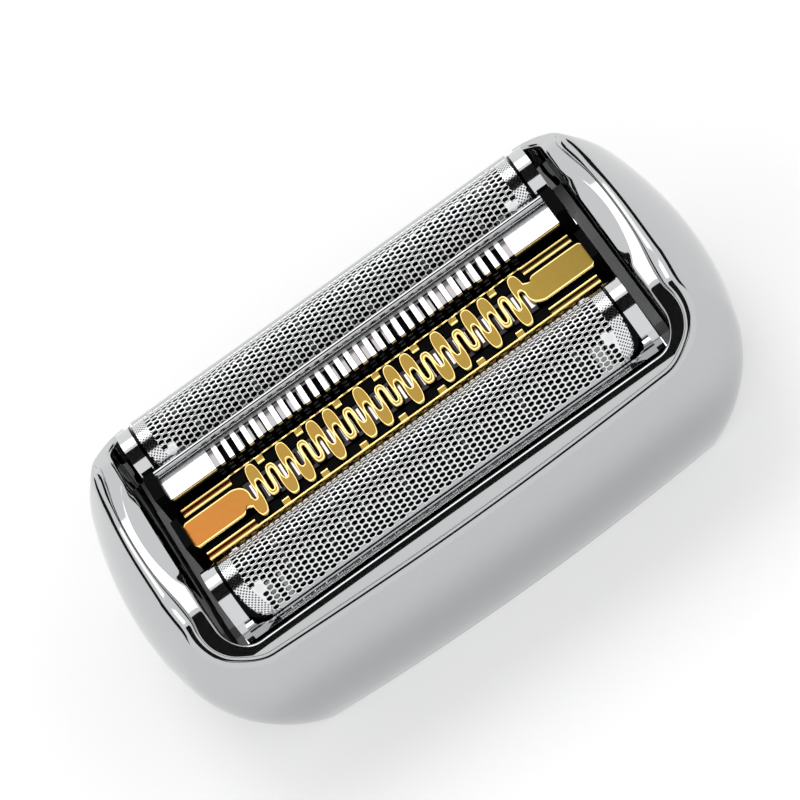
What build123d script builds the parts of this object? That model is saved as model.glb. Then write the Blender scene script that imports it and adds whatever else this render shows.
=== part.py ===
"""Cutting head of a foil shaver: two arched foils and two trimmers floating in a chrome frame.

Millimetres, X along the head, the front faces -Y, Z is up from the frame's bottom edge.
"""

from build123d import *
import os
from math import cos, radians, sin

# Outer frame: a bulged ring, widest at the waist
frame_length = 58.0
frame_depth = 33.0
waist_height = 9.5
foot_length = frame_length - 9.4
foot_depth = frame_depth - 6.6
crown_length = frame_length - 8.8
crown_depth = frame_depth - 6.6
crown_margin = 0.4  # the wall surface is drawn this far above the shoulders
waist_end_bow = 3.4  # how far an end bulges past its corners
crown_end_bow = 1.6
foot_end_bow = 2.6
side_bow = 1.5
crown_side_bow = 0.3
corner_radius = 5.0
foot_corner = 3.5

# Rim and shoulders
rim_height = 15.5  # at the mouth, along the long sides
rim_fall = 1.65  # over the rim's rolled width
rim_width = 1.85
shoulder_height = 17.7
ramp_run = 3.95  # from the shoulder's edge down to the mouth's long side
shoulder_arch = 0.9
end_wall = 6.4  # frame outline to the mouth
side_wall = 2.5
mouth_length = frame_length - 2 * end_wall
mouth_depth = frame_depth - 2 * side_wall
shoulder_width = mouth_depth - 2 * ramp_run
mouth_radius = 2.5
scallop_depth = 1.1  # sloped recess inside each shoulder
scallop_radius = 22.0
scallop_slope = 40.0

# Underside of the frame
ledge_height = 4.5
ledge_width_end = 1.2
ledge_width_side = 2.4
base_length = mouth_length - 2 * ledge_width_end
base_depth = mouth_depth - 2 * ledge_width_side
base_radius = 3.0
recess_width = 15.0  # room for the release buttons under each end
recess_height = 4.6
recess_wall = 1.9
notch_width = 6.0  # latch notches inside both ends
notch_depth = 0.8
notch_height = 1.8
notch_bottom = 1.2
snap_length = 5.0  # ribs that hold the chassis down
snap_height = 0.6
snap_overhang = 0.4
snap_pitch = mouth_length - 21.2

# Chassis and end plates
fit_gap = 0.15
floor_thickness = 1.2
window_length = mouth_length - 11.2
centre_window = 9.2
side_window = 6.3
window_rib = 1.4
plate_thickness = 0.9
plate_top = 11.5
plate_step = 0.7
plate_top_width = 15.6
plate_width = mouth_depth - 3.4
plate_gap = 0.25  # end plate to the mouth's end

# Floating units
float_travel = 2.0
float_gap = 0.25
spring_height = 2.8
spring_sheet = 0.15
spring_width = 1.4
spring_reach = 2.9
spring_bend = 0.3
tongue_height = 1.6
tongue_reach = 0.9
tongue_gap = 0.15
stop_gap = 0.1

# Foils
foil_margin = 4.83  # foil axis to the mouth's long side
foil_pitch = mouth_depth - 2 * foil_margin
foil_crest = 19.3
foil_sheet = 0.15
crown_radius = 3.0
crown_angle = 40.0
flank_radius = 5.0
flank_angle = 79.0
skirt_drop = 3.7
hole_columns = 14
hole_pitch = 2.4
hole_rows = 7
hole_row_pitch = 1.3
hole_length = 1.8
hole_width = 0.8

# Foil carriers
foil_end_gap = 0.15
cap_thickness = 1.45
plate_inner = mouth_length / 2 - plate_gap - plate_thickness
cap_outer = plate_inner - float_gap
cap_inner = cap_outer - cap_thickness
foil_length = 2 * (cap_inner - foil_end_gap)
cap_proud = 0.15
saddle_length = 2.6
rail_width = 0.92
rail_height = 1.6
rail_drop = 2.3  # rail top below the arch centre
lip_gap = 0.12
lip_width = 0.8
lip_height = 1.8
lip_drop = 0.9
gusset_run = 1.9
gusset_rise = 1.3
gusset_thickness = 0.4
leg_width = 3.0
tongue_width = 2.4
pin_diameter = 0.7
pin_head = 0.12
pin_depth = 0.6
pin_inset = 1.85
pin_angle = 50.0

# Cutters
cut_gap = 0.18
stroke = 1.2
blade_count = 16
blade_pitch = 1.95
blade_thickness = 0.25
blade_window = 2.4
blade_window_height = 1.6
core_length = foil_length - 7.6
core_width = 3.8
core_height = 1.8
core_lift = 0.2  # core top above the rails
socket_block = 9.0
socket_height = 3.4
socket_length = 4.2
socket_width = 2.4
socket_depth = 2.4
arm_width = 3.6
arm_height = 1.2
arm_overreach = 0.9
drive_gap = 0.1
prong_length = 1.6
prong_depth = 1.2

# Trimmer parts shared by both trimmers
holder_bottom = 12.5
trough_floor = 0.8
slider_lift = 0.2
slider_gap = 0.15
prong_bottom = 7.4
post_rise = 1.0  # end posts stand above the trimmer's top
trimmer_leg = 1.7
trimmer_tongue = 1.2

# Comb trimmer
comb_setback = 5.62  # from the rear foil's axis
comb_centre = foil_pitch / 2 - comb_setback
comb_width = 2.9
comb_top = 18.0
comb_length = foil_length + 1.0
comb_sheet_thickness = 0.2
comb_wall = 2.4
comb_tooth_pitch = 0.98
comb_tooth_count = 32
comb_slot = 0.53
comb_slot_drop = 1.2
comb_spine = 0.45
comb_blade_gap = 0.1
comb_blade_wall = 1.2
comb_blade_length = comb_length - 7.8
comb_blade_pitch = 1.1
comb_blade_count = 27
comb_blade_slot = 0.6
comb_trough_wall = 0.5
comb_slider_inset = 1.7
comb_slider_length = comb_blade_length - 2 * comb_slider_inset
bar_diameter = 0.6
bar_setback = 1.5
bar_rise = 0.5

# Lift trimmer
lift_setback = 7.32  # from the front foil's axis
lift_centre = lift_setback - foil_pitch / 2
lift_width = 6.62
lift_top = 17.25
guard_sheet = 0.25
guard_tab_width = 3.4
guard_tab_length = 5.3
guard_length = foil_length + 1.8
group_pitch = 4.0
lobe_pitch = 0.85
lobe_width = 1.1
lobe_length = 3.0
lobe_tip = 2.95
leg_strip = 0.42
slot_reach = 0.75
turn_offset = 0.3
turn_reach = 1.7
clip_width = 0.6
clip_length = 0.7
stem_width = 0.4
rail_sheet = 0.2
rail_flange = 0.35
rail_end_flange = 0.95
rail_end_start = guard_length / 2 - 5.4
rail_wall = 1.9
rails_length = guard_length - 1.0
rails_tie = 1.4
lift_trough_width = 3.6
lift_blade_gap = 0.15
lift_blade_width = 3.2
lift_blade_length = guard_length - 12.0
lift_blade_pitch = 1.0
lift_blade_slot = 0.52
lift_blade_spine = 0.4
lift_slider_width = 2.7
lift_slider_inset = 0.3
lift_slider_length = lift_blade_length - 2 * lift_slider_inset

# Levels and positions that follow from the sizes above
floor_top = ledge_height + floor_thickness
leg_bottom = floor_top + spring_height
arch_centre = foil_crest - crown_radius
rail_top = arch_centre - rail_drop
rail_bottom = rail_top - rail_height
lip_top = arch_centre - lip_drop
core_top = rail_top + core_lift
core_bottom = core_top - core_height
socket_bottom = core_bottom - socket_height
window_top = leg_bottom + tongue_height + stop_gap
window_bottom = leg_bottom - float_travel - 2 * stop_gap
guard_bottom = lift_top - guard_sheet
holder_top = guard_bottom - rail_sheet
comb_wall_bottom = comb_top - comb_wall
foil_centres = {-1: -foil_pitch / 2, 1: foil_pitch / 2}
trimmer_centres = {-1: lift_centre, 1: comb_centre}


def cross(x, y):
    """Upright plane across the head at x, its own origin at y: across, then up."""
    return Plane(origin=(x, y, 0), x_dir=(0, 1, 0), z_dir=(1, 0, 0))


def plan_outline(length, depth, end_bow, bow, corner, height):
    """Closed plan outline with bowed sides and ends and rounded corners."""
    corner_x, corner_y = length / 2 - end_bow, depth / 2 - bow
    with BuildSketch(Plane.XY.offset(height)) as plan:
        with BuildLine():
            ThreePointArc((-corner_x, -corner_y), (0, -depth / 2), (corner_x, -corner_y))
            ThreePointArc((corner_x, -corner_y), (length / 2, 0), (corner_x, corner_y))
            ThreePointArc((corner_x, corner_y), (0, depth / 2), (-corner_x, corner_y))
            ThreePointArc((-corner_x, corner_y), (-length / 2, 0), (-corner_x, -corner_y))
        make_face()
        fillet(plan.vertices(), corner)
    return plan.sketch.face()


def arch_point(angle, grow):
    """Point of the arch, grown outward, at an angle from upright: across, up from its centre."""
    turn, start = radians(angle), radians(crown_angle)
    if angle <= crown_angle:
        return (crown_radius + grow) * sin(turn), (crown_radius + grow) * cos(turn)
    shift = flank_radius - crown_radius
    return (
        (flank_radius + grow) * sin(turn) - shift * sin(start),
        (flank_radius + grow) * cos(turn) - shift * cos(start),
    )


def skirt(grow):
    """How far the straight skirt of the arch is from its middle plane."""
    return arch_point(flank_angle, grow)[0]


def arch_face(grow, bottom):
    """Face under the foil's arch, grown outward and closed at height bottom."""

    def at(angle, side):
        across, up = arch_point(angle, grow)
        return side * across, up + arch_centre

    flank_middle = (crown_angle + flank_angle) / 2
    with BuildSketch(Plane.XY) as face:
        with BuildLine():
            ThreePointArc(at(crown_angle, -1), at(0, 1), at(crown_angle, 1))
            for side in (-1, 1):
                ThreePointArc(at(crown_angle, side), at(flank_middle, side), at(flank_angle, side))
                Line(at(flank_angle, side), (side * skirt(grow), bottom))
            Line((-skirt(grow), bottom), (skirt(grow), bottom))
        make_face()
    return face.sketch


def arch_planes(y, angles, stations):
    """Planes that lie on the arch of the foil at y, for pairs of an angle and places along X."""
    planes = []
    for angle, places in zip(angles, stations):
        side = -1 if angle < 0 else 1
        across, up = arch_point(abs(angle), 0)
        normal = (0, side * sin(radians(abs(angle))), cos(radians(abs(angle))))
        for x in places:
            planes.append(
                Plane(origin=(x, y + side * across, arch_centre + up), x_dir=(1, 0, 0), z_dir=normal)
            )
    return planes


def row_angles():
    """Angles of the rows of holes, evenly spaced along the arch."""
    crown_run = crown_radius * radians(crown_angle)
    angles = []
    for row in range(hole_rows):
        run = (row - (hole_rows - 1) / 2) * hole_row_pitch
        side, run = (-1 if run < 0 else 1), abs(run)
        if run <= crown_run:
            angle = run / crown_radius
        else:
            angle = radians(crown_angle) + (run - crown_run) / flank_radius
        angles.append(side * angle * 180 / radians(180))
    return angles


def row_stations():
    """Places of the holes along X, row by row, every second row shifted by half a pitch."""
    stations = []
    for row in range(hole_rows):
        count = hole_columns - row % 2
        stations.append([(column - (count - 1) / 2) * hole_pitch for column in range(count)])
    return stations


def pin_planes(y):
    """Planes of the four pins of the foil at y."""
    along = foil_length / 2 - pin_inset
    return arch_planes(y, (-pin_angle, pin_angle), ((-along, along), (-along, along)))


# Outer frame
with BuildPart() as outer_frame:
    crown_height = shoulder_height + shoulder_arch + crown_margin
    loft(
        sections=[
            plan_outline(foot_length, foot_depth, foot_end_bow, side_bow, foot_corner, 0),
            plan_outline(frame_length, frame_depth, waist_end_bow, side_bow, corner_radius, waist_height),
            plan_outline(crown_length, crown_depth, crown_end_bow, crown_side_bow, corner_radius, crown_height),
        ]
    )
    # Top: arched shoulders, ramps at the corners, rolled rim along the long sides
    with BuildSketch(Plane.YZ.offset(-frame_length / 2)):
        with BuildLine():
            half, mouth = shoulder_width / 2, mouth_depth / 2
            rolled, rolled_height = mouth + rim_width, rim_height - rim_fall
            bend, bend_height = mouth + 0.6 * rim_width, rim_height - 0.4 * rim_fall
            edge = max(frame_depth / 2, rolled) + 1
            edge_height = rolled_height - (edge - rolled)
            ThreePointArc((half, shoulder_height), (0, shoulder_height + shoulder_arch), (-half, shoulder_height))
            for side in (-1, 1):
                Line((side * half, shoulder_height), (side * mouth, rim_height))
                ThreePointArc(
                    (side * mouth, rim_height), (side * bend, bend_height), (side * rolled, rolled_height)
                )
                Polyline((side * rolled, rolled_height), (side * edge, edge_height), (side * edge, 0))
            Line((-edge, 0), (edge, 0))
        make_face()
    extrude(amount=frame_length, mode=Mode.INTERSECT)
    # Pocket for the inner parts, and the opening below it
    with BuildSketch(Plane.XY.offset(ledge_height)):
        RectangleRounded(mouth_length, mouth_depth, mouth_radius)
    extrude(amount=crown_height, mode=Mode.SUBTRACT)
    with BuildSketch(Plane.XY):
        RectangleRounded(base_length, base_depth, base_radius)
    extrude(amount=ledge_height, mode=Mode.SUBTRACT)
    # Sloped recess inside each shoulder
    for end in (-1, 1):
        with BuildSketch(Plane.XY.offset(shoulder_height + shoulder_arch)):
            with Locations((end * (mouth_length / 2 + scallop_depth - scallop_radius), 0)):
                Circle(scallop_radius)
        extrude(amount=-2 * scallop_depth, taper=scallop_slope, mode=Mode.SUBTRACT)
    # Room for the release buttons, latch notches
    for end in (-1, 1):
        with BuildSketch(cross(end * (base_length / 2 + recess_wall), 0)):
            Ellipse(recess_width / 2, recess_height)
        extrude(amount=end * frame_length / 2, mode=Mode.SUBTRACT)
        with BuildSketch(Plane.XY.offset(notch_bottom)):
            with Locations((end * base_length / 2, 0)):
                Rectangle(2 * notch_depth, notch_width)
        extrude(amount=notch_height, mode=Mode.SUBTRACT)
    # Ribs over the edge of the chassis
    with BuildSketch(Plane.XY.offset(floor_top)):
        for side in (-1, 1):
            with Locations((0, side * mouth_depth / 2)):
                with GridLocations(snap_pitch, 0, 2, 1):
                    Rectangle(snap_length, 2 * snap_overhang)
    extrude(amount=snap_height)

# Chassis: floor with three long windows
with BuildPart() as chassis:
    with BuildSketch(Plane.XY.offset(ledge_height)):
        RectangleRounded(mouth_length - 2 * fit_gap, mouth_depth - 2 * fit_gap, mouth_radius - fit_gap)
        Rectangle(window_length, centre_window, mode=Mode.SUBTRACT)
        for side in (-1, 1):
            with Locations((0, side * (centre_window / 2 + window_rib + side_window / 2))):
                Rectangle(window_length, side_window, mode=Mode.SUBTRACT)
    extrude(amount=floor_thickness)


def end_plate(end):
    """Upright guide plate at one end, with a window for each floating unit."""
    with BuildPart() as plate:
        with BuildSketch(cross(end * plate_inner, 0)):
            with BuildLine():
                wide, narrow = plate_width / 2, plate_top_width / 2
                Polyline(
                    (-wide, floor_top),
                    (wide, floor_top),
                    (wide, plate_top - plate_step),
                    (narrow + plate_step, plate_top - plate_step),
                    (narrow, plate_top),
                    (-narrow, plate_top),
                    (-narrow - plate_step, plate_top - plate_step),
                    (-wide, plate_top - plate_step),
                    close=True,
                )
            make_face()
            window = window_top - window_bottom
            for side in (-1, 1):
                with Locations((foil_centres[side], window_bottom + window / 2)):
                    Rectangle(tongue_width + 2 * tongue_gap, window, mode=Mode.SUBTRACT)
                with Locations((trimmer_centres[side], window_bottom + window / 2)):
                    Rectangle(trimmer_tongue + 2 * tongue_gap, window, mode=Mode.SUBTRACT)
        extrude(amount=end * plate_thickness)
    return plate


def foil(side):
    """Perforated arched sheet with straight skirts."""
    y, bottom = foil_centres[side], arch_centre - skirt_drop
    with BuildPart() as sheet:
        with BuildSketch(cross(-foil_length / 2, y)):
            add(arch_face(0, bottom))
            add(arch_face(-foil_sheet, bottom - 1), mode=Mode.SUBTRACT)
        extrude(amount=foil_length)
        with BuildSketch(*arch_planes(y, row_angles(), row_stations())):
            with BuildLine():
                long, short, deep = hole_length / 2, hole_length / 4, hole_width / 2
                Polyline(
                    (-long, 0), (-short, -deep), (short, -deep), (long, 0), (short, deep), (-short, deep),
                    close=True,
                )
            make_face()
        extrude(amount=3 * foil_sheet, both=True, mode=Mode.SUBTRACT)
        with BuildSketch(*pin_planes(y)):
            Circle(pin_diameter / 2)
        extrude(amount=3 * foil_sheet, both=True, mode=Mode.SUBTRACT)
    return sheet


def foil_pins(side):
    """Four pins through the foil into the saddles of its carrier."""
    with BuildPart() as pins:
        with BuildSketch(*[plane.offset(pin_head) for plane in pin_planes(foil_centres[side])]):
            Circle(pin_diameter / 2)
        extrude(amount=-pin_head - pin_depth)
    return pins


def tongue_leg(end, y, width, tongue, inner, top):
    """Leg under one end of a floating unit, with the tongue that runs in the end plate."""
    with BuildPart() as leg:
        with BuildSketch(Plane.XY.offset(leg_bottom)):
            with Locations((end * (inner + cap_outer) / 2, y)):
                Rectangle(cap_outer - inner, width)
        extrude(amount=top - leg_bottom)
        with BuildSketch(Plane.XY.offset(leg_bottom)):
            with Locations((end * (cap_outer + tongue_reach / 2), y)):
                Rectangle(tongue_reach, tongue)
        extrude(amount=tongue_height)
    return leg.part


def foil_carrier(side):
    """Two end blocks with caps and legs, joined by inner rails and an outer lip."""
    y = foil_centres[side]
    lip_inner = skirt(0) + lip_gap
    lip_outer = lip_inner + lip_width
    with BuildPart() as carrier:
        for end in (-1, 1):
            with BuildSketch(cross(end * (cap_inner - saddle_length), y)):
                add(arch_face(-foil_sheet, rail_bottom))
            extrude(amount=end * saddle_length)
            with BuildSketch(cross(end * cap_inner, y)):
                add(arch_face(cap_proud, rail_bottom))
                with Locations((side * lip_outer / 2, (rail_bottom + lip_top) / 2)):
                    Rectangle(lip_outer, lip_top - rail_bottom)
            extrude(amount=end * cap_thickness)
            add(tongue_leg(end, y, leg_width, tongue_width, cap_inner, rail_bottom))
            # Corner plate between the cap and the lip
            start, foot = cap_inner + cap_thickness / 2, lip_top - lip_height / 2
            with BuildSketch(Plane.XZ.offset(-y - side * lip_inner)):
                with BuildLine():
                    corner = (end * start, foot)
                    low = (end * (cap_inner - gusset_run), foot)
                    low_top = (end * (cap_inner - gusset_run), lip_top)
                    high = (end * cap_inner, lip_top + gusset_rise)
                    bend = (end * (cap_inner - gusset_run * 0.3), lip_top + gusset_rise * 0.3)
                    Polyline(high, (end * start, lip_top + gusset_rise), corner, low, low_top)
                    ThreePointArc(low_top, bend, high)
                make_face()
            extrude(amount=-side * gusset_thickness)
        with BuildSketch(Plane.XY.offset(rail_bottom)):
            for edge in (-1, 1):
                with Locations((0, y + edge * (skirt(-foil_sheet) - rail_width / 2))):
                    Rectangle(2 * cap_inner, rail_width)
        extrude(amount=rail_height)
        with BuildSketch(Plane.XY.offset(lip_top - lip_height)):
            with Locations((0, y + side * (lip_inner + lip_width / 2))):
                Rectangle(2 * cap_outer, lip_width)
        extrude(amount=lip_height)
        with BuildSketch(*[plane.offset(pin_head) for plane in pin_planes(y)]):
            Circle(pin_diameter / 2)
        extrude(amount=-pin_head - pin_depth, mode=Mode.SUBTRACT)
    return carrier


def cutter_core(side):
    """Bar under the blades with the drive socket, and the arm that drives the trimmer beside it."""
    y, reach = foil_centres[side], trimmer_centres[side]
    arm_end = reach - side * arm_overreach
    notch_start = reach + side * (prong_depth / 2 + drive_gap)
    with BuildPart() as core:
        with BuildSketch(Plane.XY.offset(core_bottom)):
            with Locations((0, y)):
                Rectangle(core_length, core_width)
        extrude(amount=core_height)
        with BuildSketch(Plane.XY.offset(socket_bottom)):
            with Locations((0, y)):
                Rectangle(socket_block, core_width)
        extrude(amount=socket_height)
        with BuildSketch(Plane.XY.offset(socket_bottom)):
            with Locations((0, (y + arm_end) / 2)):
                Rectangle(arm_width, abs(y - arm_end))
            with Locations((0, (notch_start + arm_end) / 2)):
                Rectangle(prong_length + 2 * drive_gap, abs(notch_start - arm_end), mode=Mode.SUBTRACT)
        extrude(amount=arm_height)
        with BuildSketch(Plane.XY.offset(socket_bottom)):
            with Locations((0, y)):
                Rectangle(socket_length, socket_width)
        extrude(amount=socket_depth, mode=Mode.SUBTRACT)
    return core


def cutter_blades(side):
    """Row of arched blades standing on the core, close under the foil."""
    y = foil_centres[side]
    places = [(blade - (blade_count - 1) / 2) * blade_pitch for blade in range(blade_count)]
    with BuildPart() as blades:
        with BuildSketch(*[cross(x - blade_thickness / 2, y) for x in places]):
            add(arch_face(-foil_sheet - cut_gap, core_top))
            with Locations((0, core_top + blade_window_height)):
                Rectangle(blade_window, blade_window_height, mode=Mode.SUBTRACT)
        extrude(amount=blade_thickness)
    return blades


def springs(y):
    """Two hairpin leaf springs on the chassis floor, under the legs of the unit at y."""
    half = spring_sheet / 2
    outer = cap_outer - 2 * float_gap
    with BuildPart() as pair:
        for end in (-1, 1):
            with BuildSketch(Plane.XZ.offset(-y - spring_width / 2)):
                with BuildLine():
                    FilletPolyline(
                        (end * outer, floor_top + half),
                        (end * (outer - spring_reach), floor_top + half),
                        (end * (outer - half), leg_bottom - half),
                        radius=spring_bend,
                    )
                trace(line_width=spring_sheet)
            extrude(amount=spring_width)
    return pair


def channel(centre, width, top, wall, sheet):
    """Cross-section of a folded sheet channel, open below."""
    with BuildSketch(Plane.XY) as section:
        with Locations((centre, top - wall / 2)):
            Rectangle(width, wall)
        with Locations((centre, top - sheet - wall / 2)):
            Rectangle(width - 2 * sheet, wall, mode=Mode.SUBTRACT)
    return section.sketch


def trimmer_slider(y, length, width, top):
    """Bar under a moving comb, with the prong that the cutter's arm drives."""
    bottom = holder_bottom + trough_floor + slider_lift
    with BuildPart() as slider:
        with BuildSketch(Plane.XY.offset(bottom)):
            with Locations((0, y)):
                Rectangle(length, width)
        extrude(amount=top - bottom)
        with BuildSketch(Plane.XY.offset(prong_bottom)):
            with Locations((0, y)):
                Rectangle(prong_length, prong_depth)
        extrude(amount=bottom - prong_bottom)
    return slider


def prong_slot(y):
    """Plan of the slot in a trough floor in which the prong travels."""
    with BuildSketch(Plane.XY.offset(holder_bottom)) as slot:
        with Locations((0, y)):
            Rectangle(prong_length + 2 * (stroke + slider_gap), prong_depth + 2 * slider_gap)
    return slot.sketch


# Comb trimmer, at the rear
with BuildPart() as comb_sheet:
    with BuildSketch(cross(-comb_length / 2, comb_centre)):
        add(channel(0, comb_width, comb_top, comb_wall, comb_sheet_thickness))
    extrude(amount=comb_length)
    with BuildSketch(Plane.XY.offset(comb_top - comb_slot_drop)):
        with Locations((0, comb_centre - comb_spine)):
            with GridLocations(comb_tooth_pitch, 0, comb_tooth_count, 1):
                Rectangle(comb_slot, comb_width)
    extrude(amount=comb_slot_drop, mode=Mode.SUBTRACT)

bar_y = comb_centre + bar_setback
bar_z = comb_top + bar_rise
post_outer = cap_outer
comb_post = comb_length / 2
with BuildPart() as comb_bar:
    with BuildSketch(cross(-(comb_post + post_outer) / 2, bar_y)):
        with Locations((0, bar_z)):
            Circle(bar_diameter / 2)
    extrude(amount=comb_post + post_outer)

with BuildPart() as comb_holder:
    with BuildSketch(Plane.XY.offset(holder_bottom)):
        with Locations((0, comb_centre)):
            Rectangle(2 * post_outer, comb_width)
    extrude(amount=comb_wall_bottom - holder_bottom)
    with BuildSketch(Plane.XY.offset(holder_bottom + trough_floor)):
        with Locations((0, comb_centre)):
            Rectangle(comb_length, comb_width - 2 * comb_trough_wall)
    extrude(amount=comb_wall_bottom - holder_bottom, mode=Mode.SUBTRACT)
    with BuildSketch(cross(comb_post, comb_centre), cross(-post_outer, comb_centre)):
        with Locations((0, (holder_bottom + comb_top + post_rise) / 2)):
            Rectangle(comb_width, comb_top + post_rise - holder_bottom)
        with Locations((bar_setback, bar_z)):
            Rectangle(bar_diameter, bar_diameter)
    extrude(amount=post_outer - comb_post)
    with BuildSketch(cross(-(comb_post + post_outer) / 2, bar_y)):
        with Locations((0, bar_z)):
            Circle(bar_diameter / 2)
    extrude(amount=comb_post + post_outer, mode=Mode.SUBTRACT)
    for end in (-1, 1):
        add(tongue_leg(end, comb_centre, trimmer_leg, trimmer_tongue, cap_inner, holder_bottom))
    add(prong_slot(comb_centre))
    extrude(amount=trough_floor, mode=Mode.SUBTRACT)

comb_blade_top = comb_top - comb_sheet_thickness - comb_blade_gap
with BuildPart() as comb_blade:
    inner = comb_width - 2 * comb_sheet_thickness - 2 * comb_blade_gap
    with BuildSketch(cross(-comb_blade_length / 2, comb_centre)):
        add(channel(0, inner, comb_blade_top, comb_blade_wall, comb_sheet_thickness))
    extrude(amount=comb_blade_length)
    with BuildSketch(Plane.XY.offset(comb_blade_top - comb_blade_wall * 0.6)):
        with Locations((0, comb_centre - comb_spine)):
            with GridLocations(comb_blade_pitch, 0, comb_blade_count, 1):
                Rectangle(comb_blade_slot, inner)
    extrude(amount=comb_blade_wall, mode=Mode.SUBTRACT)

comb_slider_width = comb_width - 2 * comb_trough_wall - 2 * slider_gap
comb_slider = trimmer_slider(
    comb_centre, comb_slider_length, comb_slider_width, comb_blade_top - comb_sheet_thickness
)


def guard_turns():
    """Turns of the serpentine from left to right: place along X, side, and whether it is narrow."""
    places = []
    for junction in range(-3, 4):
        x = junction * group_pitch
        places += [(x - turn_offset, True), (x + turn_offset, True)]
        if junction < 3:
            middle = x + group_pitch / 2
            places += [(middle + step * lobe_pitch, False) for step in (-1, 0, 1)]
    first = -3.5 * group_pitch + 0.05
    places = [(first, False), (first + lobe_pitch, False)] + places
    places += [(-first - lobe_pitch, False), (-first, False)]
    return [(x, 1 if number % 2 else -1, narrow) for number, (x, narrow) in enumerate(places)]


with BuildPart() as lift_guard:
    turns = guard_turns()
    with BuildSketch(Plane.XY.offset(guard_bottom)):
        # Wide lobes, narrow turns, clips on the rails
        for number, (x, side, narrow) in enumerate(turns):
            if narrow:
                before, after = turns[number - 1][0], turns[number + 1][0]
                with Locations(((before + 2 * x + after) / 4, lift_centre + side * (turn_reach - leg_strip / 2))):
                    Rectangle((after - before) / 2 + leg_strip, leg_strip)
            else:
                with Locations((x, lift_centre + side * (lobe_tip - lobe_length / 2))):
                    Ellipse(lobe_width / 2, lobe_length / 2)
        # Legs between the turns
        for (x, side, narrow), (next_x, next_side, next_narrow) in zip(turns, turns[1:]):
            start = side * (turn_reach if narrow else slot_reach + leg_strip)
            stop = next_side * (turn_reach if next_narrow else slot_reach + leg_strip)
            with Locations(((x + next_x) / 2, lift_centre + (start + stop) / 2)):
                Rectangle(leg_strip, abs(stop - start))
        for x, side, narrow in turns:
            if not narrow:
                with Locations((x, lift_centre + side * (slot_reach - lobe_pitch))):
                    SlotOverall(2 * lobe_pitch, lobe_pitch - leg_strip, rotation=90, mode=Mode.SUBTRACT)
        # Tabs with their necks
        tab_inner = guard_length / 2 - guard_tab_length
        for end in (-1, 1):
            last = -turns[0][0] + lobe_pitch / 2
            with Locations((end * (guard_length / 2 - guard_tab_length / 2), lift_centre)):
                RectangleRounded(guard_tab_length, guard_tab_width, leg_strip)
            with Locations((end * (last + tab_inner) / 2, lift_centre)):
                Rectangle(tab_inner - last + 2 * leg_strip, 2 * leg_strip)
            with Locations((end * last, lift_centre + end * slot_reach / 2)):
                Rectangle(leg_strip, 2 * slot_reach + leg_strip)
        for junction in range(-3, 4):
            for side in (-1, 1):
                outer = lift_width / 2 - clip_length / 2
                with Locations((junction * group_pitch, lift_centre + side * outer)):
                    Rectangle(clip_width, clip_length)
                with Locations((junction * group_pitch, lift_centre + side * (outer + turn_reach - leg_strip) / 2)):
                    Rectangle(stem_width, outer - turn_reach + leg_strip)
    extrude(amount=guard_sheet)

with BuildPart() as lift_rails:
    with BuildSketch(cross(-rails_length / 2, lift_centre)):
        add(channel(0, lift_width, guard_bottom, rail_wall, rail_sheet))
    extrude(amount=rails_length)
    with BuildSketch(Plane.XY.offset(guard_bottom - rail_sheet)):
        with Locations((0, lift_centre)):
            Rectangle(2 * rail_end_start, lift_width - 2 * rail_flange)
            Rectangle(rails_length - 2 * rails_tie, lift_width - 2 * rail_end_flange)
    extrude(amount=rail_sheet, mode=Mode.SUBTRACT)

holder_width = lift_width - 2 * rail_sheet
with BuildPart() as lift_holder:
    with BuildSketch(Plane.XY.offset(holder_bottom)):
        with Locations((0, lift_centre)):
            Rectangle(rails_length, holder_width)
            Rectangle(2 * post_outer, guard_tab_width)
    extrude(amount=holder_top - holder_bottom)
    with BuildSketch(Plane.XY.offset(holder_bottom + trough_floor)):
        with Locations((0, lift_centre)):
            Rectangle(lift_blade_length + 4 * stroke, lift_trough_width)
    extrude(amount=holder_top - holder_bottom, mode=Mode.SUBTRACT)
    with BuildSketch(cross(guard_length / 2, lift_centre), cross(-post_outer, lift_centre)):
        with Locations((0, (holder_bottom + lift_top + post_rise) / 2)):
            Rectangle(guard_tab_width, lift_top + post_rise - holder_bottom)
    extrude(amount=post_outer - guard_length / 2)
    for end in (-1, 1):
        add(tongue_leg(end, lift_centre, trimmer_leg, trimmer_tongue, cap_inner, holder_bottom))
    add(prong_slot(lift_centre))
    extrude(amount=trough_floor, mode=Mode.SUBTRACT)

lift_blade_top = guard_bottom - lift_blade_gap
with BuildPart() as lift_blade:
    with BuildSketch(Plane.XY.offset(lift_blade_top - rail_sheet)):
        with Locations((0, lift_centre)):
            Rectangle(lift_blade_length, lift_blade_width)
            with GridLocations(lift_blade_pitch, 0, int((lift_blade_length - 1) / lift_blade_pitch), 1):
                Rectangle(lift_blade_slot, lift_blade_width - 2 * lift_blade_spine, mode=Mode.SUBTRACT)
    extrude(amount=rail_sheet)

lift_slider = trimmer_slider(lift_centre, lift_slider_length, lift_slider_width, lift_blade_top - rail_sheet)

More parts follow.
